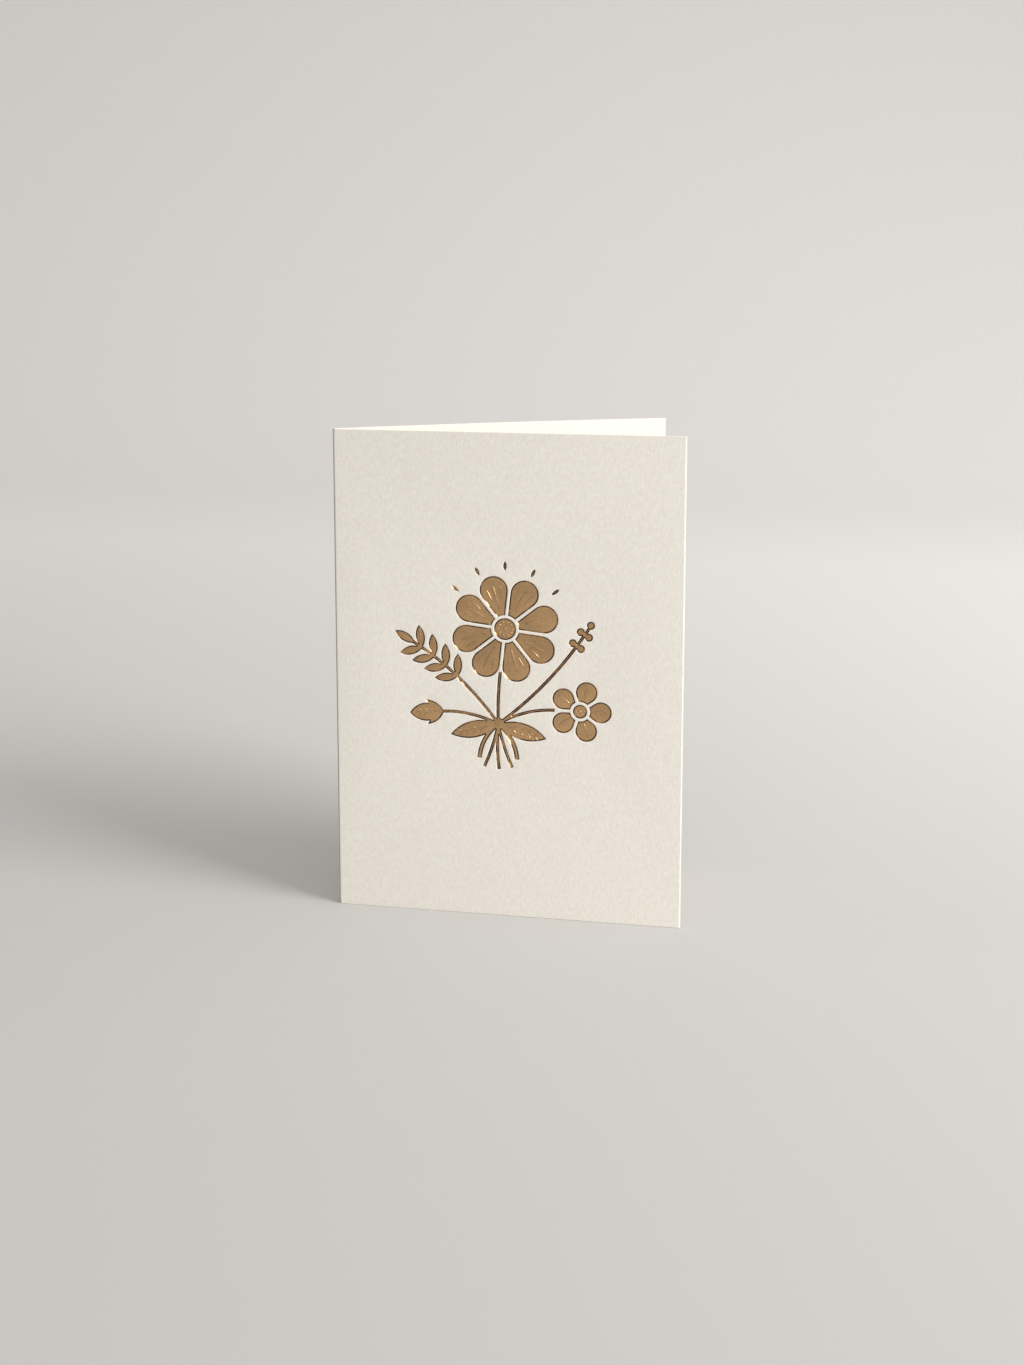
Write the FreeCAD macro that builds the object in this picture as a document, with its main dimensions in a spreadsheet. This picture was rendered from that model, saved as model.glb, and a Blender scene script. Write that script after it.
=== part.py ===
import FreeCAD, Part
import math
import os
import Sketcher

# A folded greeting card, standing open on its lower edge, with a posy of flowers
# pressed into the front panel and covered with metal foil.
#
# While it is built, +X runs from the fold to the free edge of the front panel, +Z is up
# and the front panel faces -Y. The finished card is then moved so that the origin is the
# middle of its footprint, on the ground.

# Alias, value and meaning of each driving size, in millimetres and degrees.
SIZES = [
    ("panel_width", 105.0, "fold to free edge of one panel"),
    ("panel_height", 148.0, "height of the card"),
    ("board_thickness", 0.5, "thickness of the board"),
    ("fold_radius", 0.35, "inner radius of the fold"),
    ("opening_angle", 24.0, "angle between the two panels"),
    ("back_bow", 1.7, "how far the back panel bows out from its chord"),
    ("bead_radius", 0.2, "radius of the bead that the score leaves inside the fold"),
    ("edge_bevel", 0.1, "bevel that the blade leaves on the cut edges"),
    ("press_depth", 0.22, "depth of the pressed design"),
    ("foil_thickness", 0.04, "thickness of the foil, drawn thicker than the real film"),
    ("vein_height", 0.12, "height of the raised veins over the pressed floor"),
    ("vein_width", 0.55, "width of a raised vein"),
    ("art_across", 51.0, "middle of the design from the fold"),
    ("art_up", 77.0, "middle of the design from the lower edge"),
    ("tie_across", -1.0, "knot of the posy from the middle of the design"),
    ("tie_up", -17.0, "knot of the posy from the middle of the design"),
    ("stem_width", 0.95, "width of a stem"),
    ("bloom_heading", 92.0, "direction in which the large flower's stem leaves the knot"),
    ("bloom_radius", 110.0, "bend radius of that stem"),
    ("bloom_length", 16.0, "length of that stem"),
    ("bloom_reach", 16.4, "centre of the large flower to its petal tips"),
    ("bloom_eye", 3.3, "radius of the large flower's eye"),
    ("daisy_heading", 34.0, "direction of the small flower's stem"),
    ("daisy_radius", 30.0, "bend radius of that stem"),
    ("daisy_length", 18.0, "length of that stem"),
    ("daisy_reach", 9.4, "centre of the small flower to its petal tips"),
    ("daisy_eye", 2.1, "radius of the small flower's eye"),
    ("petal_gap", 0.9, "gap between neighbouring petals"),
    ("bud_heading", 155.0, "direction of the bud's stem"),
    ("bud_radius", 34.0, "bend radius of that stem"),
    ("bud_length", 18.0, "length of that stem"),
    ("bud_size", 10.5, "length of the bud"),
    ("bud_width", 5.6, "width of the bud"),
    ("sepal_length", 6.5, "length of a sepal beside the bud"),
    ("sepal_width", 1.9, "width of a sepal"),
    ("sepal_spread", 36.0, "angle of a sepal from the bud"),
    ("fern_heading", 125.0, "direction of the fern"),
    ("fern_radius", 85.0, "bend radius of its stem"),
    ("fern_length", 36.0, "length of its stem"),
    ("frond_length", 7.0, "length of a fern leaf"),
    ("frond_width", 2.7, "width of a fern leaf"),
    ("frond_spread", 48.0, "angle of a fern leaf from its stem"),
    ("twig_heading", 38.5, "direction of the berry twig"),
    ("twig_radius", 120.0, "bend radius of the twig"),
    ("twig_length", 42.0, "length of the twig"),
    ("berry_radius", 1.2, "radius of a berry"),
    ("leaf_length", 15.0, "length of a leaf beside the knot"),
    ("leaf_width", 5.2, "width of that leaf"),
    ("leaf_droop", 15.0, "angle of that leaf below the level"),
    ("knot_radius", 1.9, "radius of the knot"),
    ("ribbon_width", 1.35, "width of a ribbon's end"),
    ("ribbon_spread", 52.0, "angle of a ribbon's end from straight down"),
    ("ribbon_radius", 15.0, "bend radius of a ribbon's end"),
    ("ribbon_length", 12.5, "length of a ribbon's end"),
    ("tail_spread", 11.0, "angle between neighbouring stem ends under the knot"),
    ("tail_radius", 60.0, "bend radius of a stem end"),
    ("tail_length", 14.0, "length of a stem end"),
    ("ray_length", 2.8, "length of a short ray over the large flower"),
    ("ray_width", 0.95, "width of that ray"),
    ("ray_gap", 1.3, "petal tips to the rays"),
    ("ray_sweep", 104.0, "angle that the rays spread over"),
]

BLOOM_PETALS = 8
DAISY_PETALS = 5
FROND_PAIRS = 4
BERRY_PAIRS = 2
RAYS = 5

# Shares of a stem's length between which its leaves or berries stand.
FROND_SPAN = (0.52, 0.9)
BERRY_SPAN = (0.82, 0.92)
# Share of a flower's reach by which its stem goes in between two petals.
NOTCH = 0.19
# Shares of a petal at which its vein starts and how long that vein is.
VEIN_START = 0.24
VEIN_LENGTH = 0.52

LEFT, RIGHT = 1, -1
# The sketcher's own numbers for the points of a line or an arc, and for its two axes
START, END, CENTRE = range(1, 4)
AXIS_X, AXIS_Y = range(-1, -3, -1)
ORIGIN = (AXIS_X, START)

document = FreeCAD.newDocument("greeting_card")
sizes = document.addObject("Spreadsheet::Sheet", "Sizes")
for row, (alias, number, meaning) in enumerate(SIZES, start=1):
    sizes.set(f"A{row}", alias.replace("_", " "))
    sizes.set(f"B{row}", str(number))
    sizes.set(f"C{row}", meaning)
    sizes.setAlias(f"B{row}", alias)
document.recompute()


# Sketching


def number_of(formula):
    """The number that a formula of the spreadsheet gives."""
    result = sizes.evalExpression(formula)
    return float(getattr(result, "Value", result))


def point(across, up):
    return FreeCAD.Vector(across, up, 0)


def circle(centre, radius):
    return Part.Circle(point(*centre), FreeCAD.Vector(0, 0, 1), radius)


def arc(centre, radius, first, last):
    """An arc drawn anticlockwise between two angles in degrees."""
    return Part.ArcOfCircle(circle(centre, radius), math.radians(first), math.radians(last))


def new_sketch(body, name, role):
    """A sketch on one of the body's own origin planes."""
    plane = next(item for item in body.Origin.OriginFeatures if item.Role == role)
    sketch = body.newObject("Sketcher::SketchObject", name)
    sketch.AttachmentSupport = [(plane, "")]
    sketch.MapMode = "FlatFace"
    return sketch


def rule(sketch, kind, *where):
    sketch.addConstraint(Sketcher.Constraint(kind, *where))


def size(sketch, name, kind, where, formula, number=None):
    """A named dimension of a sketch, bound to the spreadsheet."""
    start = number_of(formula) if number is None else number
    index = sketch.addConstraint(Sketcher.Constraint(kind, *where, start))
    sketch.renameConstraint(index, name)
    sketch.setExpression(f"Constraints.{name}", formula)


# The board

FOLD_OUTER = "(Sizes.fold_radius + Sizes.board_thickness)"
BACK_REACH = f"(Sizes.panel_width - {FOLD_OUTER})"


def draw_section(sketch):
    """Section of the folded board: flat front panel, round fold and bowed back panel."""
    width = number_of("Sizes.panel_width")
    board = number_of("Sizes.board_thickness")
    inner = number_of("Sizes.fold_radius")
    outer = number_of(FOLD_OUTER)
    reach = number_of(BACK_REACH)
    opening = number_of("Sizes.opening_angle")
    bow = f"({BACK_REACH}^2 / 4 + Sizes.back_bow^2) / (2 * Sizes.back_bow)"
    bow_radius = number_of(bow)
    swing = math.degrees(math.asin(reach / 2 / bow_radius))
    turn_in = 90 + opening + swing
    turn_out = 90 + opening - swing
    fold = (outer, outer)
    lean = math.radians(turn_in)
    bow_centre = (
        outer - (bow_radius - inner) * math.cos(lean),
        outer - (bow_radius - inner) * math.sin(lean),
    )
    far = (math.cos(math.radians(turn_out)), math.sin(math.radians(turn_out)))
    near_corner = (bow_centre[0] + bow_radius * far[0], bow_centre[1] + bow_radius * far[1])
    far_corner = (near_corner[0] + board * far[0], near_corner[1] + board * far[1])
    front_face, front_end, front_back, fold_inside = 0, 1, 2, 3
    back_inside, back_end, back_outside, fold_outside = 4, 5, 6, 7
    sketch.addGeometry([
        Part.LineSegment(point(outer, 0), point(width, 0)),
        Part.LineSegment(point(width, 0), point(width, board)),
        Part.LineSegment(point(width, board), point(outer, board)),
        arc(fold, inner, turn_in, 270),
        arc(bow_centre, bow_radius, turn_out, turn_in),
        Part.LineSegment(point(*near_corner), point(*far_corner)),
        arc(bow_centre, bow_radius + board, turn_out, turn_in),
        arc(fold, outer, turn_in, 270),
    ])
    rule(sketch, "Coincident", front_face, END, front_end, START)
    rule(sketch, "Coincident", front_end, END, front_back, START)
    rule(sketch, "Tangent", front_back, END, fold_inside, END)
    rule(sketch, "Tangent", fold_inside, START, back_inside, END)
    rule(sketch, "Coincident", back_inside, START, back_end, START)
    rule(sketch, "Coincident", back_end, END, back_outside, START)
    rule(sketch, "Tangent", back_outside, END, fold_outside, START)
    rule(sketch, "Tangent", fold_outside, END, front_face, START)
    rule(sketch, "Coincident", fold_inside, CENTRE, fold_outside, CENTRE)
    rule(sketch, "Coincident", back_inside, CENTRE, back_outside, CENTRE)
    rule(sketch, "PointOnObject", back_inside, CENTRE, back_end)
    rule(sketch, "PointOnObject", front_face, START, AXIS_X)
    rule(sketch, "Horizontal", front_face)
    rule(sketch, "Horizontal", front_back)
    rule(sketch, "Vertical", front_end)
    size(sketch, "fold_inner", "Radius", (fold_inside,), "Sizes.fold_radius")
    size(sketch, "fold_outer", "Radius", (fold_outside,), FOLD_OUTER)
    size(sketch, "fold_place", "DistanceX", (*ORIGIN, fold_outside, CENTRE), FOLD_OUTER)
    size(sketch, "free_edge", "DistanceX", (*ORIGIN, front_face, END), "Sizes.panel_width")
    size(sketch, "bow", "Radius", (back_inside,), bow)
    chord = sketch.addGeometry(Part.LineSegment(point(*fold), point(*near_corner)), True)
    rule(sketch, "Coincident", chord, START, fold_inside, CENTRE)
    rule(sketch, "Coincident", chord, END, back_inside, START)
    size(sketch, "back_reach", "Distance", (chord,), BACK_REACH)
    size(sketch, "opening", "Angle", (AXIS_X, START, chord, START),
         "Sizes.opening_angle * 1deg", math.radians(opening))


def cut_edges(shape):
    """Names of the long edges where the blade cut through the board's two faces."""
    top = number_of("Sizes.panel_height")
    fine = number_of("Sizes.board_thickness") / 10
    names = []
    for index, edge in enumerate(shape.Edges, start=1):
        box = edge.BoundBox
        level = box.ZLength < fine and min(abs(box.ZMin), abs(box.ZMax - top)) < fine
        across_board = edge.Length < number_of("Sizes.board_thickness") + fine
        free = box.ZLength > top / 2 and box.XMin > number_of("Sizes.panel_width") / 2
        if (level and not across_board) or free:
            names.append(f"Edge{index}")
    return names


def make_board():
    """The board: one sheet, cut, scored down the middle and folded."""
    body = document.addObject("PartDesign::Body", "board")
    section = new_sketch(body, "board_section", "XY_Plane")
    draw_section(section)
    panels = body.newObject("PartDesign::Pad", "panels")
    panels.Profile = section
    panels.setExpression("Length", "Sizes.panel_height")
    document.recompute()

    bevel = body.newObject("PartDesign::Chamfer", "edge_bevel")
    bevel.Base = (panels, cut_edges(panels.Shape))
    bevel.setExpression("Size", "Sizes.edge_bevel")

    crease = new_sketch(body, "crease", "XY_Plane")
    crease.setExpression("AttachmentOffset.Base.z", "Sizes.edge_bevel")
    across = f"{FOLD_OUTER} - Sizes.fold_radius * cos(Sizes.opening_angle / 2 * 1deg)"
    back = f"{FOLD_OUTER} - Sizes.fold_radius * sin(Sizes.opening_angle / 2 * 1deg)"
    crease.addGeometry(circle((number_of(across), number_of(back)), number_of("Sizes.bead_radius")))
    size(crease, "bead", "Radius", (0,), "Sizes.bead_radius")
    size(crease, "across", "DistanceX", (*ORIGIN, 0, CENTRE), across)
    size(crease, "back", "DistanceY", (*ORIGIN, 0, CENTRE), back)
    bead = body.newObject("PartDesign::Pad", "crease_bead")
    bead.Profile = crease
    bead.setExpression("Length", "Sizes.panel_height - 2 * Sizes.edge_bevel")
    document.recompute()
    return body


# Places on the front panel


class Place:
    """A place on the front panel, as formulas: across, up and direction in degrees."""

    def __init__(self, across, up, angle="0"):
        self.across = across
        self.up = up
        self.angle = angle

    def turned(self, degrees):
        return Place(self.across, self.up, f"({self.angle} + {degrees})")

    def ahead(self, distance):
        """The place reached by going that far in its direction."""
        across = f"{self.across} + ({distance}) * cos({self.angle} * 1deg)"
        up = f"{self.up} + ({distance}) * sin({self.angle} * 1deg)"
        return Place(across, up, self.angle)


KNOT = Place("Sizes.art_across + Sizes.tie_across", "Sizes.art_up + Sizes.tie_up")


class Stem:
    """A stem of constant bend that leaves the knot in a given direction."""

    def __init__(self, name, turn, heading=None):
        self.name = name
        self.turn = turn
        self.heading = heading or f"Sizes.{name}_heading"
        self.radius = f"Sizes.{name}_radius"
        self.length = f"Sizes.{name}_length"

    def at(self, share):
        """The place on its middle line at a share of its length."""
        swing = f"{self.turn * share} * {self.length} / {self.radius} * 180 / pi"
        angle = f"({self.heading} + {swing})"
        bend = f"{self.turn} * {self.radius}"
        across = f"{KNOT.across} + {bend} * (sin({angle} * 1deg) - sin({self.heading} * 1deg))"
        up = f"{KNOT.up} + {bend} * (cos({self.heading} * 1deg) - cos({angle} * 1deg))"
        return Place(across, up, angle)

    def tip(self):
        """The place just inside its far end, from which a bud or the last leaf grows."""
        return self.at(1).ahead("-Sizes.stem_width")


# Width and height of the film over a vein
COVER_WIDTH = "(Sizes.vein_width + 2 * Sizes.foil_thickness)"
COVER_HEIGHT = "Sizes.vein_height + Sizes.foil_thickness"


# Outlines of the motifs, each from its sketch's origin along the sketch's X axis


def draw_lens(sketch, length, width, ahead="0"):
    """Two equal arcs that meet in points, the first point that far ahead of the origin."""
    near = number_of(ahead)
    long = number_of(length)
    half = number_of(width) / 2
    bend = f"(({length})^2 + ({width})^2) / 4 / ({width})"
    radius = number_of(bend)
    swing = math.degrees(math.asin(long / 2 / radius))
    upper, lower = 0, 1
    sketch.addGeometry([
        arc((near + long / 2, half - radius), radius, 90 - swing, 90 + swing),
        arc((near + long / 2, radius - half), radius, 270 - swing, 270 + swing),
    ])
    rule(sketch, "Coincident", upper, END, lower, START)
    rule(sketch, "Coincident", upper, START, lower, END)
    rule(sketch, "PointOnObject", lower, START, AXIS_X)
    rule(sketch, "PointOnObject", lower, END, AXIS_X)
    rule(sketch, "Equal", upper, lower)
    size(sketch, "ahead", "DistanceX", (*ORIGIN, lower, START), ahead)
    size(sketch, "length", "DistanceX", (lower, START, lower, END), length)
    size(sketch, "bend", "Radius", (upper,), bend)


def draw_disc(sketch, radius, beside="0"):
    """A disc, with its middle on the origin or to the left of it."""
    sketch.addGeometry(circle((0, number_of(beside)), number_of(radius)))
    rule(sketch, "PointOnObject", 0, CENTRE, AXIS_Y)
    size(sketch, "disc", "Radius", (0,), radius)
    size(sketch, "beside", "DistanceY", (*ORIGIN, 0, CENTRE), beside)


def draw_petal(sketch, count, reach, eye):
    """A round-tipped petal, the same gap away from its neighbours and from the eye."""
    spread = 180 / count
    tip_place = f"(({reach} + Sizes.petal_gap / 2) / (1 + sin({spread} * 1deg)))"
    tip_radius = f"({reach} - {tip_place})"
    foot = f"({eye} + Sizes.petal_gap)"
    far = number_of(tip_place)
    tip = number_of(tip_radius)
    near = number_of(foot)
    half_gap = math.degrees(math.asin(number_of("Sizes.petal_gap") / 2 / near))
    lean = math.radians(spread)
    side = math.radians(spread - half_gap)
    inner_corner = (near * math.cos(side), near * math.sin(side))
    outer_corner = (far - tip * math.sin(lean), tip * math.cos(lean))
    upper, lower, round_tip, base = 0, 1, 2, 3
    sketch.addGeometry([
        Part.LineSegment(point(*inner_corner), point(*outer_corner)),
        Part.LineSegment(
            point(inner_corner[0], -inner_corner[1]), point(outer_corner[0], -outer_corner[1])),
        arc((far, 0), tip, -90 - spread, 90 + spread),
        arc((0, 0), near, half_gap - spread, spread - half_gap),
    ])
    rule(sketch, "Tangent", upper, END, round_tip, END)
    rule(sketch, "Tangent", lower, END, round_tip, START)
    rule(sketch, "Coincident", upper, START, base, END)
    rule(sketch, "Coincident", lower, START, base, START)
    rule(sketch, "Coincident", base, CENTRE, *ORIGIN)
    rule(sketch, "PointOnObject", round_tip, CENTRE, AXIS_X)
    size(sketch, "foot", "Radius", (base,), foot)
    size(sketch, "tip", "Radius", (round_tip,), tip_radius)
    size(sketch, "tip_place", "DistanceX", (*ORIGIN, round_tip, CENTRE), tip_place)
    size(sketch, "upper_lean", "Angle", (AXIS_X, START, upper, START), f"{spread} * 1deg", lean)
    size(sketch, "lower_lean", "Angle", (lower, START, AXIS_X, START), f"{spread} * 1deg", lean)


def draw_band(sketch, turn, radius, length, width):
    """A band of constant width and bend, cut square at both ends."""
    bend = number_of(radius)
    half = number_of(width) / 2
    swing = number_of(length) / bend
    degrees = math.degrees(swing)
    across = math.sin(swing)
    up = turn * math.cos(swing)
    centre = (0, turn * bend)
    span = (-90, degrees - 90) if turn == LEFT else (90 - degrees, 90)
    near, far = (START, END) if turn == LEFT else (END, START)
    outer, inner, near_end, far_end = 0, 1, 2, 3
    sketch.addGeometry([
        arc(centre, bend + half, *span),
        arc(centre, bend - half, *span),
        Part.LineSegment(point(0, -turn * half), point(0, turn * half)),
        Part.LineSegment(
            point((bend + half) * across, centre[1] - (bend + half) * up),
            point((bend - half) * across, centre[1] - (bend - half) * up)),
    ])
    rule(sketch, "Coincident", outer, near, near_end, START)
    rule(sketch, "Coincident", inner, near, near_end, END)
    rule(sketch, "Coincident", outer, far, far_end, START)
    rule(sketch, "Coincident", inner, far, far_end, END)
    rule(sketch, "Coincident", outer, CENTRE, inner, CENTRE)
    rule(sketch, "PointOnObject", outer, CENTRE, AXIS_Y)
    rule(sketch, "PointOnObject", near_end, START, AXIS_Y)
    rule(sketch, "PointOnObject", near_end, END, AXIS_Y)
    rule(sketch, "PointOnObject", outer, CENTRE, far_end)
    size(sketch, "outer_bend", "Radius", (outer,), f"{radius} + {width} / 2")
    size(sketch, "inner_bend", "Radius", (inner,), f"{radius} - {width} / 2")
    size(sketch, "near_side", "DistanceY", (*ORIGIN, near_end, START), f"{-turn} * {width} / 2")
    size(sketch, "reach", "DistanceX", (*ORIGIN, far_end, START),
         f"({radius} + {width} / 2) * sin({length} / {radius} * 180 / pi * 1deg)")


# The pressed design, drawn twice: as the die that presses the board and as the foil that
# the die leaves on the pressed floor


class Layer:
    """One copy of the design, which rises from the pressed floor to a given height."""

    def __init__(self, name, height, is_film):
        self.name = name
        self.height = height
        self.is_film = is_film

    def body(self, name):
        return document.addObject("PartDesign::Body", f"{self.name}_{name}")


def motif_sketch(body, name, place):
    """A sketch on the plane of the pressed floor, at a place on the front panel."""
    sketch = new_sketch(body, name, "XZ_Plane")
    sketch.setExpression("AttachmentOffset.Base.x", place.across)
    sketch.setExpression("AttachmentOffset.Base.y", place.up)
    sketch.setExpression("AttachmentOffset.Base.z", "-Sizes.press_depth")
    sketch.setExpression("AttachmentOffset.Rotation.Angle", f"({place.angle}) * 1deg")
    return sketch


def raise_motif(body, sketch, height):
    """Raise a motif from the pressed floor towards the card's front."""
    pad = body.newObject("PartDesign::Pad", f"{sketch.Name}_raised")
    pad.Profile = sketch
    pad.setExpression("Length", height)
    return pad


def cut_vein(body, sketch):
    """Cut the room of a raised vein, from the pressed floor towards the card's front."""
    pocket = body.newObject("PartDesign::Pocket", f"{sketch.Name}_room")
    pocket.Profile = sketch
    pocket.Reversed = True
    pocket.setExpression("Length", "Sizes.vein_height")
    return pocket


def add_vein(layer, body, name, place, length):
    """A raised vein along the middle of a petal; film goes over it."""
    start = place.ahead(f"{length} * {VEIN_START}")
    long = f"{length} * {VEIN_LENGTH}"
    features = []
    if layer.is_film:
        cover = motif_sketch(body, f"{name}_cover", start.ahead("-Sizes.foil_thickness"))
        draw_lens(cover, f"({long} + 2 * Sizes.foil_thickness)", COVER_WIDTH)
        features.append(raise_motif(body, cover, COVER_HEIGHT))
    vein = motif_sketch(body, name, start)
    draw_lens(vein, f"({long})", "Sizes.vein_width")
    features.append(cut_vein(body, vein))
    return features


def add_lens(layer, body, name, place, length, width):
    sketch = motif_sketch(body, name, place)
    draw_lens(sketch, length, width)
    raise_motif(body, sketch, layer.height)


def add_disc(layer, body, name, place, radius, beside="0"):
    sketch = motif_sketch(body, name, place)
    draw_disc(sketch, radius, beside)
    raise_motif(body, sketch, layer.height)


def add_stem(layer, body, name, stem, width="Sizes.stem_width"):
    sketch = motif_sketch(body, name, stem.at(0))
    draw_band(sketch, stem.turn, stem.radius, stem.length, width)
    raise_motif(body, sketch, layer.height)


def repeat_round(body, name, features, sketch, count, angle="360"):
    """Repeat features about the origin of the sketch that draws them."""
    ring = body.newObject("PartDesign::PolarPattern", name)
    ring.Originals = features
    ring.Axis = (sketch, ["N_Axis"])
    ring.setExpression("Angle", f"{angle} * 1deg")
    ring.Occurrences = count
    body.Tip = ring


def spread_over(span, count):
    """Even shares from the first to the last of a span."""
    first, last = span
    return [first + (last - first) * index / (count - 1) for index in range(count)]


def flower_centre(stem, count):
    """Middle of a flower, turned so that its stem ends between two petals."""
    reach = f"Sizes.{stem.name}_reach * {1 - NOTCH}"
    return stem.at(1).ahead(reach).turned(180 + 180 / count)


def make_flower(layer, stem, count, has_veins):
    """Petals in a ring around an eye."""
    name = stem.name
    body = layer.body(f"{name}_flower")
    reach = f"Sizes.{name}_reach"
    eye = f"Sizes.{name}_eye"
    centre = flower_centre(stem, count)
    petal = motif_sketch(body, f"{name}_petal", centre)
    draw_petal(petal, count, reach, eye)
    features = [raise_motif(body, petal, layer.height)]
    if has_veins:
        long = f"({reach} - {eye})"
        features += add_vein(layer, body, f"{name}_vein", centre.ahead(eye), long)
    repeat_round(body, f"{name}_petals", features, petal, count)
    add_disc(layer, body, f"{name}_middle", centre, eye)
    return body


def make_rays(layer, stem):
    """Short rays that spread over the large flower."""
    body = layer.body("rays")
    centre = flower_centre(stem, BLOOM_PETALS)
    first = Place(centre.across, centre.up, "(90 - Sizes.ray_sweep / 2)")
    fan = motif_sketch(body, "fan", first)
    draw_lens(fan, "Sizes.ray_length", "Sizes.ray_width", "Sizes.bloom_reach + Sizes.ray_gap")
    ray = raise_motif(body, fan, layer.height)
    repeat_round(body, "ray_fan", [ray], fan, RAYS, "Sizes.ray_sweep")
    return body


def make_bud(layer, stem):
    """A bud between two sepals."""
    body = layer.body("bud")
    add_lens(layer, body, "bud_outline", stem.tip(), "Sizes.bud_size", "Sizes.bud_width")
    for name, side in (("left", "+"), ("right", "-")):
        sepal = stem.tip().turned(f"{side}Sizes.sepal_spread")
        add_lens(layer, body, f"{name}_sepal", sepal, "Sizes.sepal_length", "Sizes.sepal_width")
    return body


def make_fronds(layer, stem):
    """Leaves in pairs along the fern's stem, and one at its end."""
    body = layer.body("fronds")
    places = {"end_frond": stem.tip()}
    for index, share in enumerate(spread_over(FROND_SPAN, FROND_PAIRS), start=1):
        places[f"left_frond_{index}"] = stem.at(share).turned("Sizes.frond_spread")
        places[f"right_frond_{index}"] = stem.at(share).turned("-Sizes.frond_spread")
    for name, place in places.items():
        add_lens(layer, body, name, place, "Sizes.frond_length", "Sizes.frond_width")
    return body


def make_berries(layer, stem):
    """Berries in pairs along the twig, and one at its end."""
    body = layer.body("berries")
    for index, share in enumerate(spread_over(BERRY_SPAN, BERRY_PAIRS), start=1):
        for name, side in (("left", 1), ("right", -1)):
            beside = f"{side} * (Sizes.berry_radius + Sizes.stem_width / 4)"
            name = f"{name}_berry_{index}"
            add_disc(layer, body, name, stem.at(share), "Sizes.berry_radius", beside)
    add_disc(layer, body, "end_berry", stem.at(1), "Sizes.berry_radius")
    return body


def make_stalks(layer, stems):
    """All the stems, two leaves, the stem ends under the knot, the ribbon and its knot."""
    body = layer.body("stalks")
    for stem in stems:
        add_stem(layer, body, f"{stem.name}_stem", stem)
    for name, turn, side in (("left", LEFT, "-"), ("right", RIGHT, "+")):
        tail = Stem("tail", -turn, f"(270 {side} Sizes.tail_spread)")
        add_stem(layer, body, f"{name}_tail", tail)
        ribbon = Stem("ribbon", turn, f"(270 {side} Sizes.ribbon_spread)")
        add_stem(layer, body, f"{name}_ribbon", ribbon, "Sizes.ribbon_width")
    add_stem(layer, body, "middle_tail", Stem("tail", LEFT, "(270 - Sizes.tail_spread / 2)"))
    leaves = {
        "right_leaf": KNOT.turned("-Sizes.leaf_droop"),
        "left_leaf": KNOT.turned("180 + Sizes.leaf_droop"),
    }
    for name, place in leaves.items():
        add_lens(layer, body, name, place, "Sizes.leaf_length", "Sizes.leaf_width")
    add_disc(layer, body, "knot", KNOT, "Sizes.knot_radius")
    return body


def make_layer(layer):
    """The whole design: five stems from one knot and what they carry."""
    bloom = Stem("bloom", RIGHT)
    daisy = Stem("daisy", RIGHT)
    bud = Stem("bud", LEFT)
    fern = Stem("fern", LEFT)
    twig = Stem("twig", LEFT)
    design = document.addObject("Part::MultiFuse", layer.name)
    design.Shapes = [
        make_stalks(layer, (bloom, daisy, bud, fern, twig)),
        make_flower(layer, bloom, BLOOM_PETALS, has_veins=True),
        make_flower(layer, daisy, DAISY_PETALS, has_veins=False),
        make_rays(layer, bloom),
        make_bud(layer, bud),
        make_fronds(layer, fern),
        make_berries(layer, twig),
    ]
    design.Refine = True
    return design


# The two pieces


def stand_up(piece):
    """Move a piece so that the origin is the middle of the card's footprint."""
    piece.setExpression("Placement.Base.x", "-Sizes.panel_width / 2")
    piece.setExpression("Placement.Base.y", "-board_section.Shape.BoundBox.YMax / 2")


board = make_board()
die = make_layer(Layer("die", "2 * Sizes.press_depth", is_film=False))
foil = make_layer(Layer("gold_foil", "Sizes.foil_thickness", is_film=True))
card = document.addObject("Part::Cut", "folded_card")
card.Base = board
card.Tool = die
for piece in (card, foil):
    stand_up(piece)
    piece.Label = piece.Name
document.recompute()

# Nothing is written unless every object came out and each piece is a sound solid.
for item in document.Objects:
    if {"Invalid", "Error"} & set(item.State):
        raise RuntimeError(f"{item.Name} did not come out")
    if item.isDerivedFrom("Sketcher::SketchObject") and item.solve() != 0:
        raise RuntimeError(f"{item.Name} is not solved")
for piece in (card, foil):
    if piece.Shape.isNull() or not piece.Shape.isValid():
        raise RuntimeError(f"{piece.Label} has no sound shape")

os.makedirs("parts", exist_ok=True)
for piece in (card, foil):
    piece.Shape.exportStep(f"parts/{piece.Label}.step")
    print(piece.Label, len(piece.Shape.Solids), "solids,", round(piece.Shape.Volume, 3), "mm3")
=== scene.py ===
import math

import bpy
from mathutils import Matrix, Vector
from mathutils.bvhtree import BVHTree
from mathutils.geometry import delaunay_2d_cdt


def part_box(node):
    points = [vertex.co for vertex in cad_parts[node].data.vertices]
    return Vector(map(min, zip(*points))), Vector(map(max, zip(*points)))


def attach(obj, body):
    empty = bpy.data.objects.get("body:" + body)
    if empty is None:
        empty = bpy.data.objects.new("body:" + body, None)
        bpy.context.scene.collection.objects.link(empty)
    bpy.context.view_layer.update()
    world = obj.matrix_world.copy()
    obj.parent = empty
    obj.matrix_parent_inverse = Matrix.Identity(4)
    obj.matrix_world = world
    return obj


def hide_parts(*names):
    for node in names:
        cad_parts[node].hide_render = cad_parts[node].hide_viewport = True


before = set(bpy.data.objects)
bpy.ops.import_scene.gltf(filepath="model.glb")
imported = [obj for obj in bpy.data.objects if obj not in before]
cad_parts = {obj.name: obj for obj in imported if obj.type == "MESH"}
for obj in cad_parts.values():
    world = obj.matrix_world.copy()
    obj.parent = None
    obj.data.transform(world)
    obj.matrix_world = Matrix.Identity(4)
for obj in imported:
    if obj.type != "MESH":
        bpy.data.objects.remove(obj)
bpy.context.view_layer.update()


# The camera
# It stands a little right of the middle and above the card, and looks slightly down.
# Its lens and its shift follow from the corners of the card in the photograph.

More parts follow.
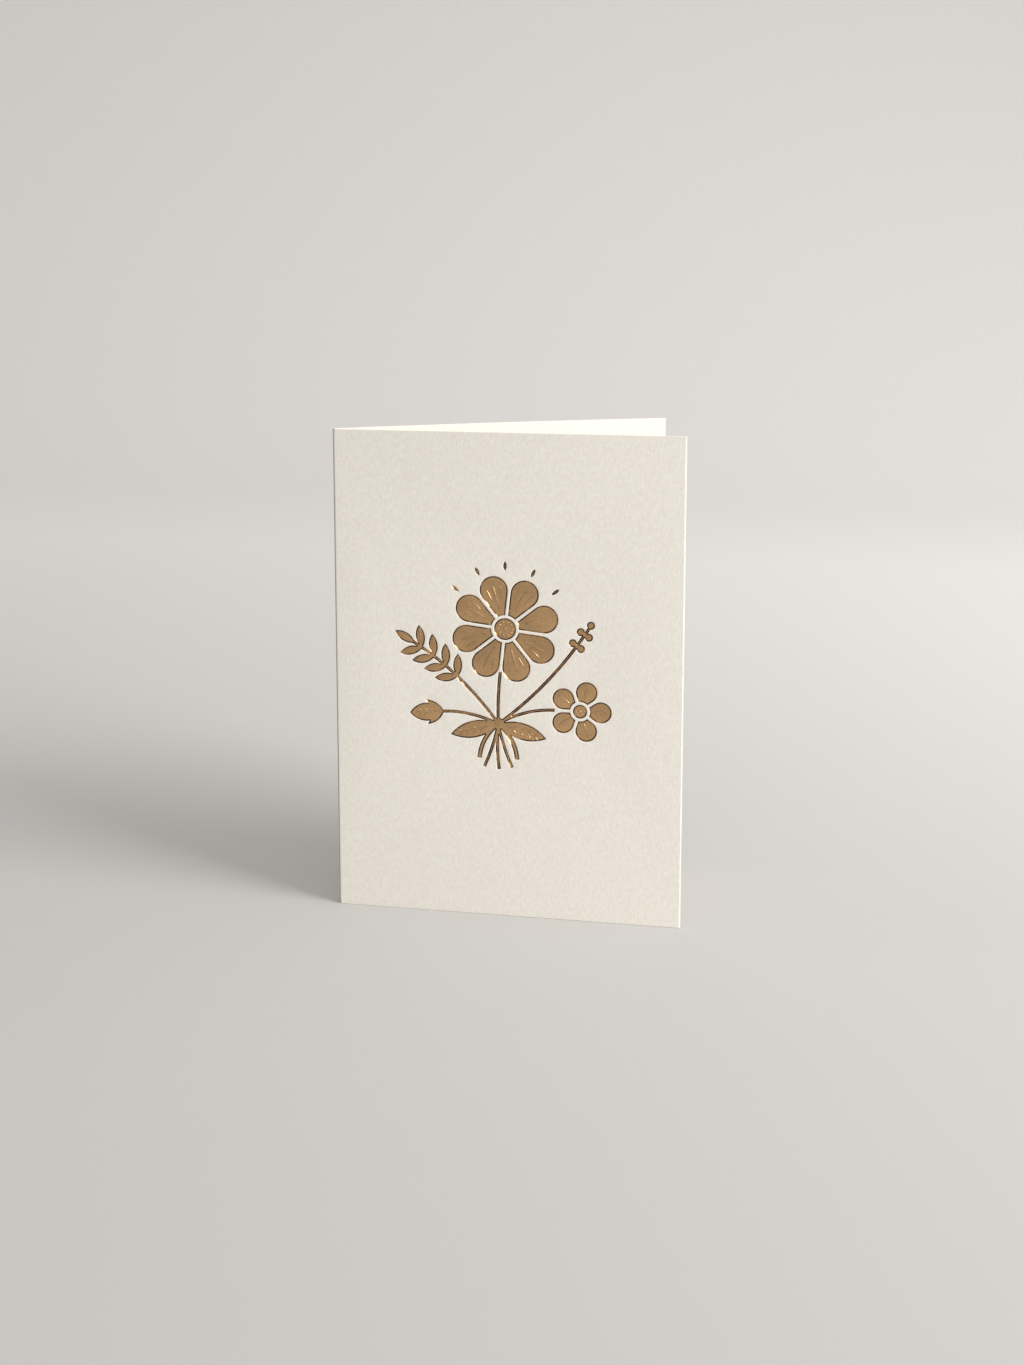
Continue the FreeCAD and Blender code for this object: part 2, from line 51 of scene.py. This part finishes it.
MM = 0.001
CAMERA_PLACE = (74.41 * MM, -455.86 * MM, 205.31 * MM)
CAMERA_TILT = math.radians(82.74)
CAMERA_TURN = math.radians(9.51)
CAMERA_LENS = 40.163
CAMERA_SENSOR = 36.0
CAMERA_SHIFT = -0.1861
CAMERA_NEAR = 10 * MM
CAMERA_FAR = 50.0

bpy.ops.object.select_all(action="DESELECT")
bpy.ops.object.camera_add(location=CAMERA_PLACE, rotation=(CAMERA_TILT, 0, CAMERA_TURN))
camera = bpy.context.object
camera.name = "camera"
camera.data.lens = CAMERA_LENS
camera.data.sensor_width = CAMERA_SENSOR
camera.data.shift_y = CAMERA_SHIFT
camera.data.clip_start = CAMERA_NEAR
camera.data.clip_end = CAMERA_FAR
bpy.context.scene.camera = camera


# The folded card
# One sheet of heavy off-white cotton board, cut, scored and folded by hand. A heated die
# has pressed the design into its front panel: the board rolls softly over the rims, and
# the die has bitten deepest just inside them.

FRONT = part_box("folded_card")[0].y
PRESS_DEPTH = 0.22 * MM
# Corners of the solid within this of a level lie on it
LEVEL_SLACK = 0.004 * MM
# The design keeps inside this part of the front panel
DESIGN_SIDE = 45 * MM
DESIGN_BOTTOM = 5 * MM
DESIGN_TOP = 143 * MM
# The floor of the recess faces the front, which is -Y, more than this, and its walls less
FLOOR_FACING = -0.9
WALL_FACING = 0.1
# Rows of the pressed profile: distance inside the outline in mm, and share of the depth
PROFILE = (
    (-0.4, 0.0), (-0.28, 0.03), (-0.17, 0.1), (-0.08, 0.22), (0.0, 0.42), (0.08, 0.75),
    (0.16, 1.1), (0.24, 1.44), (0.3, 1.54), (0.35, 1.3), (0.4, 1.06), (0.46, 1.0))
# Points along the outline, and how far a row may be out before it is dropped, in mm
ROW_STEP = 0.3
ROW_SLACK = 0.03
# Below the first bend, in radians, the outline runs straight on. Above the second the rows
# of points fan out in this many steps.
SOFT_BEND = 0.02
SHARP_BEND = 0.4
CORNER_FAN = 4
# The edge of the panel's face lies at least this far outside the design, in mm
OUTER_MARGIN = 1.0
# Points closer than this are merged: in the flat net, in mm, and in the finished sheet
NET_MERGE = 0.0001
SHEET_MERGE = 0.001 * MM
# The blade rolls the free cut edge over by this much, across and back
EDGE_ROLL = (0.25 * MM, 0.08 * MM)
EDGE_CHAMFER = 0.1 * MM

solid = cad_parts["folded_card"].data
corners = [vertex.co.copy() for vertex in solid.vertices]
chamfer_start = max(corner.x for corner in corners) - EDGE_CHAMFER
for corner in corners:
    if corner.x > chamfer_start - LEVEL_SLACK and abs(corner.y - FRONT) < LEVEL_SLACK:
        corner.x -= EDGE_ROLL[0]
    elif corner.x > chamfer_start and corner.y < FRONT + 2 * EDGE_CHAMFER:
        corner.y += EDGE_ROLL[1]


def corners_in_front(face):
    """The corners of a face of the solid that lie on the panel's front."""
    return [corners[index] for index in face.vertices if abs(corners[index].y - FRONT) < LEVEL_SLACK]


def is_front(face):
    return len(corners_in_front(face)) == len(face.vertices)


def is_pressed(face):
    """A face of the recess: its floor, its walls and the veins that stand in it."""
    depths = [corners[index].y - FRONT for index in face.vertices]
    faces_recess = face.normal.y < FLOOR_FACING or abs(face.normal.y) < WALL_FACING
    is_shallow = all(depth < PRESS_DEPTH + LEVEL_SLACK for depth in depths)
    in_design = abs(face.center.x) <= DESIGN_SIDE and DESIGN_BOTTOM < face.center.z < DESIGN_TOP
    return faces_recess and is_shallow and in_design and not is_front(face)


front_faces = [face for face in solid.polygons if is_front(face)]
pressed_faces = [face for face in solid.polygons if is_pressed(face)]
walls = [face for face in pressed_faces if abs(face.normal.y) < WALL_FACING and corners_in_front(face)]


def flat(point):
    """A point of the front panel in millimetres, across and up."""
    return Vector((point.x, point.z)) / MM


def tree_of(faces):
    """A search tree over some faces of the solid."""
    return BVHTree.FromPolygons(corners, [tuple(face.vertices) for face in faces])


panel_tree = tree_of(front_faces + pressed_faces)
wall_tree = tree_of(walls)


def is_inside(spot):
    """Whether a spot of the panel, in millimetres, lies in the pressed design."""
    start = Vector((spot.x * MM, FRONT - MM, spot.y * MM))
    hit = panel_tree.ray_cast(start, Vector((0, 1, 0)))[0]
    return hit is not None and hit.y > FRONT + PRESS_DEPTH / 4


def inset_of(spot):
    """Distance in millimetres from the outline of the design, positive inside it."""
    middle = Vector((spot.x * MM, FRONT + PRESS_DEPTH / 2, spot.y * MM))
    distance = wall_tree.find_nearest(middle)[3] / MM
    return distance if is_inside(spot) else -distance


def depth_at(inset):
    """Depth of the pressed surface at that distance inside the outline."""
    for (near, shallow), (far, deep) in zip(PROFILE, PROFILE[1:]):
        if inset < far:
            share = max(0.0, (inset - near) / (far - near))
            return PRESS_DEPTH * (shallow + (deep - shallow) * share)
    return PRESS_DEPTH


def fan_between(first, last):
    """The directions in which rows of points leave a point where two walls meet."""
    bend = first.angle(last, 0)
    if bend <= SOFT_BEND:
        return [first]
    if bend <= SHARP_BEND:
        return [(first + last).normalized()]
    return [first.lerp(last, step / CORNER_FAN).normalized() for step in range(CORNER_FAN + 1)]


# The outline of the design, in short steps, each point with the directions into the recess
outline = {}
outline_steps = []
for wall in walls:
    inward = Vector((wall.normal.x, wall.normal.z)).normalized()
    ends = corners_in_front(wall)
    if len(ends) != 2:
        continue
    first, last = [flat(end) for end in ends]
    steps = max(1, round((last - first).length / ROW_STEP))
    line = [first.lerp(last, step / steps) for step in range(steps + 1)]
    keys = [(round(spot.x, 4), round(spot.y, 4)) for spot in line]
    for key in keys:
        outline.setdefault(key, []).append(inward)
    outline_steps += zip(keys, keys[1:])

# Rows of points on both sides of it, each kept only where no other outline is nearer
spots = [Vector(key) for key in outline]
number_of_key = {key: number for number, key in enumerate(outline)}
insets = [0.0] * len(spots)
for key, directions in outline.items():
    for inward in fan_between(directions[0], directions[-1]):
        for row, _ in PROFILE:
            spot = Vector(key) + inward * row
            if row and abs(inset_of(spot) - row) < ROW_SLACK:
                spots.append(spot)
                insets.append(row)

# The outer edge of the panel's face, where the fold and the cut edges begin
faces_at = {}
for face in front_faces:
    for key in face.edge_keys:
        faces_at[key] = faces_at.get(key, 0) + 1
outer_edges = [key for key, count in faces_at.items()
               if count == 1 and all(inset_of(flat(corners[index])) < -OUTER_MARGIN for index in key)]
net_steps = [(number_of_key[start], number_of_key[end]) for start, end in outline_steps]
for edge in outer_edges:
    net_steps.append((len(spots), len(spots) + 1))
    spots += [flat(corners[index]) for index in edge]
    insets += [PROFILE[0][0]] * 2

net_spots, _, net_faces, spot_sources, _, _ = delaunay_2d_cdt(spots, net_steps, [], 0, NET_MERGE)
net_insets = [insets[sources[0]] if sources else inset_of(spot)
              for spot, sources in zip(net_spots, spot_sources)]
skin_points = [Vector((spot.x * MM, FRONT + depth_at(inset), spot.y * MM))
               for spot, inset in zip(net_spots, net_insets)]
skin_faces = [list(face) for face in net_faces]


def new_piece(name, points, faces):
    mesh = bpy.data.meshes.new(name)
    mesh.from_pydata(points, [], faces)
    piece = bpy.data.objects.new(name, mesh)
    bpy.context.scene.collection.objects.link(piece)
    return piece


def activate(piece):
    """Leave only this piece selected."""
    bpy.ops.object.select_all(action="DESELECT")
    piece.select_set(True)
    bpy.context.view_layer.objects.active = piece


# The rest of the sheet keeps the solid's faces, and the pressed skin closes it in front
dropped = {face.index for face in front_faces + pressed_faces}
kept_faces = [list(face.vertices) for face in solid.polygons if face.index not in dropped]
card = new_piece("greeting_card", corners, kept_faces)
skin = new_piece("pressed_skin", skin_points, skin_faces)
activate(card)
skin.select_set(True)
bpy.ops.object.join()
bpy.ops.object.mode_set(mode="EDIT")
bpy.ops.mesh.select_all(action="SELECT")
bpy.ops.mesh.remove_doubles(threshold=SHEET_MERGE)
bpy.ops.mesh.delete_loose()
bpy.ops.object.mode_set(mode="OBJECT")
# The roll of the free edge starts in a crisp line, so the panel's face stays flat beside it
roll_start = Vector((chamfer_start - EDGE_ROLL[0], FRONT))
for edge in card.data.edges:
    ends = [card.data.vertices[index].co.xy for index in edge.vertices]
    edge.use_edge_sharp = all((end - roll_start).length < LEVEL_SLACK for end in ends)


def node(tree, kind, inputs=None, **settings):
    """A shader node with its settings, and numbers or links for its inputs."""
    made = tree.nodes.new(kind)
    for name, value in settings.items():
        setattr(made, name, value)
    for name, value in (inputs or {}).items():
        if isinstance(value, bpy.types.NodeSocket):
            tree.links.new(value, made.inputs[name])
        else:
            made.inputs[name].default_value = value
    return made


def object_place(tree):
    return node(tree, "ShaderNodeTexCoord").outputs["Object"]


def noise(tree, place, scale, detail):
    inputs = {"Vector": place, "Scale": scale, "Detail": detail}
    return node(tree, "ShaderNodeTexNoise", inputs).outputs["Fac"]


def remap(tree, value, source, target):
    """A value whose source range, its low and high end, is stretched to the target range."""
    inputs = {"Value": value, "From Min": source[0], "From Max": source[1],
              "To Min": target[0], "To Max": target[1]}
    return node(tree, "ShaderNodeMapRange", inputs).outputs["Result"]


def mix_colours(tree, share, start, end):
    inputs = {"Factor": share, "A": start, "B": end}
    return node(tree, "ShaderNodeMix", inputs, data_type="RGBA").outputs["Result"]


def relief(tree, height, strength, distance):
    """A bump as high as that distance."""
    inputs = {"Height": height, "Strength": strength, "Distance": distance}
    return node(tree, "ShaderNodeBump", inputs).outputs["Normal"]


def new_material(name):
    material = bpy.data.materials.new(name)
    material.use_nodes = True
    tree = material.node_tree
    return material, tree, tree.nodes["Principled BSDF"]


def linear(red, green, blue):
    """A colour given as 0 to 255 on a screen."""
    shares = [value / 255 for value in (red, green, blue)]
    return (*[(s / 12.92 if s <= 0.04045 else ((s + 0.055) / 1.055) ** 2.4) for s in shares], 1)


PAPER = linear(246, 241, 232)
PAPER_FIBRE = linear(236, 229, 217)
PAPER_ROUGHNESS = 0.85
PAPER_SHINE = 0.25
# The fibres lie upright: how many to the metre each way, with an even mottle over them
FIBRES = (2600, 2600, 700)
FIBRE_DETAIL = 3.0
MOTTLE = (1500.0, 2.0)
MOTTLE_SHARE = 0.2
FIBRE_CONTRAST = (0.38, 0.62)
FIBRE_TINT = (0.0, 0.85)
FIBRE_BUMP = (0.5, 0.03 * MM)
# Painted shade lies in a greyer line down the outside of the fold
PAPER_FOLD_SHADE = linear(184, 175, 163)
FOLD_SHADE_ACROSS = (-52.1 * MM, -51.9 * MM)


def cotton_board():
    """Off-white board with upright fibres and a matt grain, and painted shade in a greyer line on the fold.
    """
    material, tree, paper = new_material("cotton_board")
    place = object_place(tree)
    upright = node(tree, "ShaderNodeMapping", {"Vector": place, "Scale": FIBRES}).outputs["Vector"]
    fibres = noise(tree, upright, 1.0, FIBRE_DETAIL)
    mottle = noise(tree, place, *MOTTLE)
    grain = node(tree, "ShaderNodeMix", {"Factor": MOTTLE_SHARE, "A": fibres, "B": mottle}).outputs["Result"]
    tinted = mix_colours(tree, remap(tree, grain, FIBRE_CONTRAST, FIBRE_TINT), PAPER, PAPER_FIBRE)
    across = node(tree, "ShaderNodeSeparateXYZ", {"Vector": place}).outputs["X"]
    # Painted shade: the board turns greyer down the fold
    fold_shade_share = remap(tree, across, FOLD_SHADE_ACROSS, (1.0, 0.0))
    fold_shaded = mix_colours(tree, fold_shade_share, tinted, PAPER_FOLD_SHADE)
    tree.links.new(fold_shaded, paper.inputs["Base Color"])
    tree.links.new(relief(tree, grain, *FIBRE_BUMP), paper.inputs["Normal"])
    paper.inputs["Roughness"].default_value = PAPER_ROUGHNESS
    paper.inputs["Specular IOR Level"].default_value = PAPER_SHINE
    return material


def dress(piece, finish, smooth_below):
    """Give a piece its only material, and smooth its edges below that angle in degrees."""
    piece.data.materials.clear()
    piece.data.materials.append(finish)
    activate(piece)
    bpy.ops.object.shade_smooth_by_angle(angle=math.radians(smooth_below))


PRESSED_SMOOTH = 32
dress(card, cotton_board(), PRESSED_SMOOTH)
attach(card, "root")
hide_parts("folded_card")


# The foil
# A thin film of satin gold that the heated die leaves on all that it presses. It lies on
# the pressed floor and up the walls, and ends half way up their soft rims.

FOIL_LIFT = 0.02 * MM
FOIL_THICKNESS = 0.015 * MM
# Painted shade in bronze lies on the film along the rim: distance inside the outline in mm, and share
RIM_PAINTED_SHADE = ((0.27, 1.0), (0.32, 0.4))


def is_film(face):
    """Whether a face of the skin lies inside the outline."""
    total = sum(net_insets[number] for number in face)
    middle = sum((net_spots[number] for number in face), Vector((0, 0))) / len(face)
    return total > 0 if total else is_inside(middle)


foil = new_piece("pressed_foil", skin_points, [face for face in skin_faces if is_film(face)])
rim_marks = foil.data.attributes.new("rim", "FLOAT", "POINT")
# Painted shade along the rim: its share at each point
for inset, mark in zip(net_insets, rim_marks.data):
    mark.value = next((share for reach, share in RIM_PAINTED_SHADE if inset < reach), 0.0)
activate(foil)
bpy.ops.object.mode_set(mode="EDIT")
bpy.ops.mesh.select_all(action="SELECT")
bpy.ops.mesh.delete_loose()
bpy.ops.mesh.select_all(action="SELECT")
bpy.ops.transform.shrink_fatten(value=FOIL_LIFT)
bpy.ops.object.mode_set(mode="OBJECT")
film = foil.modifiers.new("film", "SOLIDIFY")
film.thickness = FOIL_THICKNESS
film.offset = -1
bpy.ops.object.modifier_apply(modifier="film")

GOLD = linear(209, 171, 126)
SHADE_BRONZE = linear(70, 48, 29)
# Patterns in the film: how many to the metre, and their detail
PORES = (2600.0, 2.0)
CLOUDS = (120.0, 3.0)
STREAKS = (350.0, 1.0)
# Ends of the noise that count, and what they become: tone of the clouds, roughness, and the share of painted
# shade kept on the rims
NOISE_ENDS = (0.3, 0.7)
CLOUD_SHADES = (0.88, 1.08)
FOIL_ROUGHNESS = (0.22, 0.32)
STREAK_ENDS = (0.54, 0.62)
STREAK_SHADE_KEPT = (1.0, 0.35)
PORE_BUMP = (0.25, 0.01 * MM)


def satin_gold_foil():
    """Cloudy satin gold with fine pores, and painted shade in bronze where the rim mark says."""
    material, tree, gold = new_material("satin_gold_foil")
    place = object_place(tree)
    pores = noise(tree, place, *PORES)
    shade = remap(tree, noise(tree, place, *CLOUDS), NOISE_ENDS, CLOUD_SHADES)
    warm = node(tree, "ShaderNodeVectorMath", {0: GOLD[:3], "Scale": shade}, operation="SCALE")
    rim_mark = node(tree, "ShaderNodeAttribute", attribute_name="rim").outputs["Fac"]
    # Here and there the painted shade on the rim is lifted, so the gold shows and glints where it faces the
    # light
    painted_shade_kept = remap(tree, noise(tree, place, *STREAKS), STREAK_ENDS, STREAK_SHADE_KEPT)
    painted_shade_share = node(tree, "ShaderNodeMath", {0: rim_mark, 1: painted_shade_kept}, operation="MULTIPLY")
    # Painted shade: bronze mixed into the gold where the rim mark says
    tinted = mix_colours(tree, painted_shade_share.outputs["Value"], warm.outputs["Vector"], SHADE_BRONZE)
    tree.links.new(tinted, gold.inputs["Base Color"])
    tree.links.new(remap(tree, pores, NOISE_ENDS, FOIL_ROUGHNESS), gold.inputs["Roughness"])
    tree.links.new(relief(tree, pores, *PORE_BUMP), gold.inputs["Normal"])
    gold.inputs["Metallic"].default_value = 1.0
    return material


foil_finish = satin_gold_foil()
dress(foil, foil_finish, PRESSED_SMOOTH)
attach(foil, "root")
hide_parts("gold_foil")


# The lines in the foil
# Fine ridges that the die leaves standing in the pressed floor: veins in the petals and
# leaves, turns of the knot and dots in the eyes. The film runs over them.

# Places on the panel, in mm from its middle and its foot: the middle of the design, which
# is measured from the fold, and the knot of the bunch
PANEL_WIDTH = 105.0
ART_FROM_FOLD = 51.0
ART = Vector((ART_FROM_FOLD - PANEL_WIDTH / 2, 77.0))
KNOT = ART + Vector((-1.0, -17.0))
# Stems: angle at which they leave the knot, the way they bend, their radius and length
LARGE_STEM = (92, -1, 110, 16)
SMALL_STEM = (34, -1, 30, 18)
BUD_STEM = (155, 1, 34, 18)
FERN_STEM = (125, 1, 85, 36)
# A bud or frond at the end of a stem starts this far back on it, in mm
TIP_OVERLAP = 0.95
# Sizes of the ridges in mm: width and height
PETAL_VEIN = (0.8, 0.19)
PETAL_LINE = (0.62, 0.16)
LEAF_VEIN = (0.66, 0.18)
LEAF_LINE = (0.5, 0.16)
KNOT_TURN = (0.5, 0.18)
EYE_DOT_HEIGHT = 0.17
EYE_MIDDLE_HEIGHT = 0.19
FILM_LEVEL = FRONT + PRESS_DEPTH - FOIL_LIFT
# A ridge starts as a ball 1 across, cut off just behind the film's face. It has painted shade in bronze
# round its foot: the Y from which it is, and how much.
RIDGE_ROUND = 12
RIDGE_CUT = 0.1
FOOT_PAINTED_SHADE = ((-0.1, 1.0), (-0.3, 0.4))

bpy.ops.object.select_all(action="DESELECT")
bpy.ops.mesh.primitive_uv_sphere_add(
    segments=RIDGE_ROUND, ring_count=RIDGE_ROUND, radius=0.5, rotation=(0, math.pi / 2, 0))
ridge = bpy.context.object
bpy.ops.object.transform_apply(location=False, rotation=True, scale=False)
bpy.ops.object.mode_set(mode="EDIT")
bpy.ops.mesh.select_all(action="SELECT")
bpy.ops.mesh.bisect(plane_co=(0, RIDGE_CUT, 0), plane_no=(0, 1, 0), clear_outer=True, use_fill=True)
bpy.ops.object.mode_set(mode="OBJECT")
foot_marks = ridge.data.attributes.new("rim", "FLOAT", "POINT")
# Painted shade round the ridge's foot
for vertex, mark in zip(ridge.data.vertices, foot_marks.data):
    mark.value = next((share for level, share in FOOT_PAINTED_SHADE if vertex.co.y > level), 0.0)

ridges = []


def add_ridge(middle, angle, length, width, height):
    """A ridge of that size, its middle at a place of the panel in millimetres."""
    copy = bpy.data.objects.new("ridge", ridge.data.copy())
    bpy.context.scene.collection.objects.link(copy)
    turn = Matrix.Rotation(-math.radians(angle), 4, "Y")
    place = Matrix.Translation((middle.x * MM, FILM_LEVEL, middle.y * MM))
    copy.data.transform(place @ turn @ Matrix.Diagonal((length * MM, 2 * height * MM, width * MM, 1)))
    ridges.append(copy)


def heading(angle):
    return Vector((math.cos(math.radians(angle)), math.sin(math.radians(angle))))


def stem_at(stem, share):
    """Place and direction at a share of the length of a stem, which bends evenly."""
    start, turn, radius, length = stem
    angle = start + turn * math.degrees(share * length / radius)
    across = turn * radius * (math.sin(math.radians(angle)) - math.sin(math.radians(start)))
    up = turn * radius * (math.cos(math.radians(start)) - math.cos(math.radians(angle)))
    return KNOT + Vector((across, up)), angle


# Shares of a petal's length: where a vein and a side line have their middle, and how long
# they are. A side line leaves the vein's direction by one angle and turns by another.
VEIN_MIDDLE = 0.5
VEIN_LENGTH = 0.56
LINE_MIDDLE = 0.6
LINE_LENGTH = 0.3
LINE_ASIDE = 9.5
LINE_TURN = 13
# The middle of a flower lies past its stem's end by this share of its radius
FLOWER_MIDDLE = 0.81
# Shares of the eye's radius: the ring of dots, their size and that of the middle dot
DOTS_PER_MM = 3
DOT_RING = 0.62
DOT_SIZE = 0.24
MIDDLE_DOT_SIZE = 0.4


def add_petal_lines(stem, radius, eye, petals, line_sides):
    """A vein along each petal, with shorter lines beside it, and a ring of dots in the eye."""
    end, angle = stem_at(stem, 1)
    middle = end + heading(angle) * radius * FLOWER_MIDDLE
    first = angle + 180 + 180 / petals
    length = radius - eye
    for petal in range(petals):
        along = first + petal * 360 / petals
        vein = middle + heading(along) * (eye + length * VEIN_MIDDLE)
        add_ridge(vein, along, length * VEIN_LENGTH, *PETAL_VEIN)
        for side in line_sides:
            beside = middle + heading(along + side * LINE_ASIDE) * (eye + length * LINE_MIDDLE)
            add_ridge(beside, along + side * LINE_TURN, length * LINE_LENGTH, *PETAL_LINE)
    dots = round(eye * DOTS_PER_MM)
    for dot in range(dots):
        around = dot * 360 / dots
        on_ring = middle + heading(around) * eye * DOT_RING
        add_ridge(on_ring, around, eye * DOT_SIZE, eye * DOT_SIZE, EYE_DOT_HEIGHT)
    add_ridge(middle, 0, eye * MIDDLE_DOT_SIZE, eye * MIDDLE_DOT_SIZE, EYE_MIDDLE_HEIGHT)


# Shares of a leaf's length and of its width, and the slant of its side veins in degrees
LEAF_VEIN_MIDDLE = 0.52
LEAF_VEIN_LENGTH = 0.6
LEAF_LINE_MIDDLE = 0.24
LEAF_LINE_LENGTH = 0.34
LEAF_SLANT = 42


def add_leaf_lines(base, angle, length, width, side_lines=()):
    """A vein along a leaf, and slanting ones on both sides of it."""
    along = heading(angle)
    add_ridge(base + along * length * LEAF_VEIN_MIDDLE, angle, length * LEAF_VEIN_LENGTH, *LEAF_VEIN)
    for share in side_lines:
        for side in (1, -1):
            foot = base + along * length * share
            slant = angle + side * LEAF_SLANT
            middle = foot + heading(slant) * width * LEAF_LINE_MIDDLE
            add_ridge(middle, slant, width * LEAF_LINE_LENGTH, *LEAF_LINE)


def add_tip_lines(stem, length, width, side_lines=()):
    """The lines of a bud or frond at the end of a stem."""
    end, angle = stem_at(stem, 1)
    add_leaf_lines(end - heading(angle) * TIP_OVERLAP, angle, length, width, side_lines)


add_petal_lines(LARGE_STEM, radius=16.4, eye=3.3, petals=8, line_sides=(1, -1))
add_petal_lines(SMALL_STEM, radius=9.4, eye=2.1, petals=5, line_sides=())
for leaf_angle in (-15, 195):
    add_leaf_lines(KNOT, leaf_angle, length=15, width=5.2, side_lines=(0.3, 0.45, 0.6, 0.75))
add_tip_lines(BUD_STEM, length=10.5, width=5.6, side_lines=(0.45, 0.62))
# Fronds in pairs up the fern: the first pair's share of the stem, and the last pair's beyond
FROND_LENGTH = 7
FROND_WIDTH = 2.7
FROND_PAIRS = 4
FROND_SIDES = (48, -48)
FIRST_PAIR = 0.52
PAIRS_REACH = 0.38
for pair in range(FROND_PAIRS):
    spot, angle = stem_at(FERN_STEM, FIRST_PAIR + PAIRS_REACH * pair / (FROND_PAIRS - 1))
    for side in FROND_SIDES:
        add_leaf_lines(spot, angle + side, FROND_LENGTH, FROND_WIDTH)
add_tip_lines(FERN_STEM, FROND_LENGTH, FROND_WIDTH)
# Turns of the tie round the knot, in mm above the middle one, each shorter away from it
TURN_SLANT = 8
TURN_LENGTH = 2.6
for offset in (-0.75, 0, 0.75):
    add_ridge(KNOT + Vector((0, offset)), TURN_SLANT, TURN_LENGTH - abs(offset), *KNOT_TURN)

activate(ridges[0])
for copy in ridges:
    copy.select_set(True)
bpy.ops.object.join()
lines = bpy.context.object
lines.name = lines.data.name = "foil_lines"
bpy.data.objects.remove(ridge)
RIDGE_SMOOTH = 50
dress(lines, foil_finish, RIDGE_SMOOTH)
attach(lines, "root")


# The floor and the light
# A plain pale sheet that curves up behind the card, with a large soft window to the
# right of it and even light from all round.

SWEEP_FRONT = -4.0
SWEEP_BACK = 1.6
SWEEP_WIDTH = 9.0
SWEEP_HEIGHT = 2.6
SWEEP_BEND = 0.9
SWEEP_SEGMENTS = 24


def select_edge_at(piece, place):
    """Select only the edges whose two ends pass a test of their place."""
    for item in (*piece.data.vertices, *piece.data.polygons):
        item.select = False
    for edge in piece.data.edges:
        edge.select = all(place(piece.data.vertices[index].co) for index in edge.vertices)


bpy.ops.object.select_all(action="DESELECT")
bpy.ops.mesh.primitive_plane_add(size=1, location=(0, (SWEEP_FRONT + SWEEP_BACK) / 2, 0))
floor = bpy.context.object
floor.name = "floor"
floor.scale = (SWEEP_WIDTH, SWEEP_BACK - SWEEP_FRONT, 1)
bpy.ops.object.transform_apply(location=True, rotation=False, scale=True)
bpy.ops.object.mode_set(mode="EDIT")
bpy.ops.mesh.select_mode(type="EDGE")
bpy.ops.object.mode_set(mode="OBJECT")
select_edge_at(floor, lambda end: end.y > SWEEP_BACK - MM)
bpy.ops.object.mode_set(mode="EDIT")
bpy.ops.mesh.extrude_region_move(TRANSFORM_OT_translate={"value": (0, 0, SWEEP_HEIGHT)})
bpy.ops.object.mode_set(mode="OBJECT")
select_edge_at(floor, lambda end: end.y > SWEEP_BACK - MM and end.z < MM)
bpy.ops.object.mode_set(mode="EDIT")
bpy.ops.mesh.bevel(offset=SWEEP_BEND, segments=SWEEP_SEGMENTS, profile=0.5)
bpy.ops.object.mode_set(mode="OBJECT")
bpy.ops.object.shade_smooth()

FLOOR_TONE = linear(199, 197, 194)
WALL_TONE = linear(225, 222, 219)
# Painted light: the sheet pales from under the card to this far behind it
PALING = (0.0, 0.5)
SHEET_ROUGHNESS = 0.9
SHEET_SHINE = 0.2


def pale_sheet():
    """Matt paper, darker where the card stands, and paler behind it as painted light."""
    material, tree, pale = new_material("pale_floor")
    behind = node(tree, "ShaderNodeSeparateXYZ", {"Vector": object_place(tree)}).outputs["Y"]
    # Painted light: floor tone in front turns to the paler wall tone behind
    tinted = mix_colours(tree, remap(tree, behind, PALING, (0.0, 1.0)), FLOOR_TONE, WALL_TONE)
    tree.links.new(tinted, pale.inputs["Base Color"])
    pale.inputs["Roughness"].default_value = SHEET_ROUGHNESS
    pale.inputs["Specular IOR Level"].default_value = SHEET_SHINE
    return material


floor.data.materials.append(pale_sheet())

WINDOW_PLACE = Vector((1.1, -0.28, 0.634))
WINDOW_AIM = Vector((0.1, 0.4, 0.07))
WINDOW_SIDE = 0.66
WINDOW_POWER = 7.65
WINDOW_SPREAD = math.radians(120)
bpy.ops.object.light_add(type="AREA", location=WINDOW_PLACE)
window = bpy.context.object
window.name = "window"
window.data.shape = "RECTANGLE"
window.data.size = WINDOW_SIDE
window.data.size_y = WINDOW_SIDE
window.data.energy = WINDOW_POWER
window.data.spread = WINDOW_SPREAD
window.rotation_euler = (WINDOW_AIM - WINDOW_PLACE).to_track_quat("-Z", "Y").to_euler()

# The room is brightest in this direction and darkest opposite to it
ROOM_BRIGHT_SIDE = (0.894, -0.199, 0.402)
ROOM_BRIGHTNESS = (0.28, 0.98)
ROOM_TINT = (1.0, 0.99, 0.985, 1)
# The camera itself sees the room as a plain pale grey
ROOM_SEEN = 0.68
world = bpy.data.worlds.new("room")
bpy.context.scene.world = world
world.use_nodes = True
room = world.node_tree
towards = node(room, "ShaderNodeTexCoord").outputs["Generated"]
facing = node(room, "ShaderNodeVectorMath", {0: towards, 1: ROOM_BRIGHT_SIDE}, operation="DOT_PRODUCT")
glow = remap(room, facing.outputs["Value"], (-1.0, 1.0), ROOM_BRIGHTNESS)
is_seen = node(room, "ShaderNodeLightPath").outputs["Is Camera Ray"]
strength = node(room, "ShaderNodeMix", {"Factor": is_seen, "A": glow, "B": ROOM_SEEN})
sky = room.nodes["Background"]
sky.inputs["Color"].default_value = ROOM_TINT
room.links.new(strength.outputs["Result"], sky.inputs["Strength"])

bpy.context.scene.view_settings.view_transform = "Standard"
